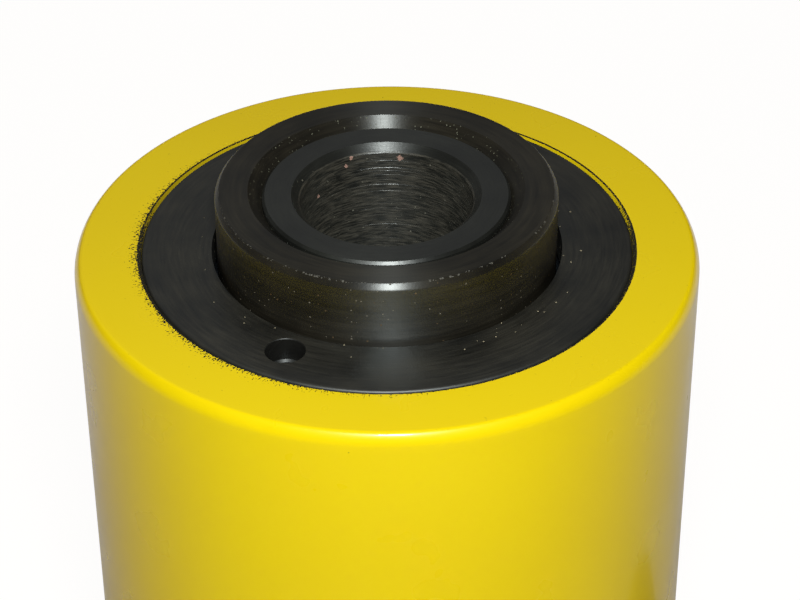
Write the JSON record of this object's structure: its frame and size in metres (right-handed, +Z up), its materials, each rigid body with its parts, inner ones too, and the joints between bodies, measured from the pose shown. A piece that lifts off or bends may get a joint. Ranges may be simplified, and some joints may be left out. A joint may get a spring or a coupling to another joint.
{
  "type": "hollow plunger cylinder",
  "caption": "Single-acting hydraulic cylinder with a hollow plunger, a screwed-in hollow saddle, spring return, a clear centre hole and a capped oil coupler on the side.",
  "frame": {"origin": "centre of the base's underside, on the axis of the centre hole", "axes": "+Z up along the plunger's travel, +X out along the oil port"},
  "size_m": [0.1769, 0.114, 0.1689],
  "materials": {
    "yellow_enamel": "gloss enamel over turned steel",
    "black_oxide_steel": "turned, black oxide, oiled",
    "plated_tube": "ground and hard plated",
    "spring_steel": "shot peened, oiled",
    "zinc_plated_steel": "machined, bright zinc",
    "polyurethane": "moulded polyurethane",
    "nitrile": "moulded nitrile",
    "guide_strip": "machined guide strip",
    "backup_nylon": "turned nylon",
    "copper_washer": "stamped copper",
    "cap_plastic": "moulded plastic"
  },
  "bodies": {
    "cylinder": {"cylinder_body": "yellow_enamel", "gland_ring": "black_oxide_steel", "plunger_wiper": "polyurethane", "gland_guide_ring": "guide_strip", "centre_tube": "plated_tube", "tube_o_ring": "nitrile", "tube_backup_ring": "backup_nylon", "upper_spring_seat": "spring_steel", "return_spring": "spring_steel", "port_washer": "copper_washer", "port_nipple": "zinc_plated_steel", "coupler_sleeve": "zinc_plated_steel", "socket_seal": "nitrile", "coupler_spring": "spring_steel", "spring_guide": "zinc_plated_steel"},
    "plunger": {"plunger": "black_oxide_steel", "hollow_saddle": "black_oxide_steel", "piston_seal": "polyurethane", "piston_backup_ring": "backup_nylon", "piston_guide_ring": "guide_strip", "bore_seal": "polyurethane", "bore_backup_ring": "backup_nylon", "bore_guide_ring": "guide_strip", "lower_spring_seat": "spring_steel"},
    "coupler_valve": {"poppet": "zinc_plated_steel", "poppet_seal": "nitrile"},
    "dust_cap": {"dust_cap": "cap_plastic", "cap_liner": "nitrile"}
  },
  "joints": [
    {"name": "plunger_stroke", "type": "slide", "parent": "cylinder", "child": "plunger", "axis": [0, 0, 1], "range_m": [0, 0.05], "stiffness_N_per_m": 12200, "springref_m": -0.041, "deforming": ["return_spring"]},
    {"name": "valve_lift", "type": "slide", "parent": "cylinder", "child": "coupler_valve", "axis": [-1, 0, 0], "range_m": [0, 0.0025], "stiffness_N_per_m": 7000, "springref_m": -0.003, "deforming": ["coupler_spring"]},
    {"name": "dust_cap_pull", "type": "slide", "parent": "cylinder", "child": "dust_cap", "axis": [1, 0, 0], "range_m": [0, 0.07]}
  ]
}
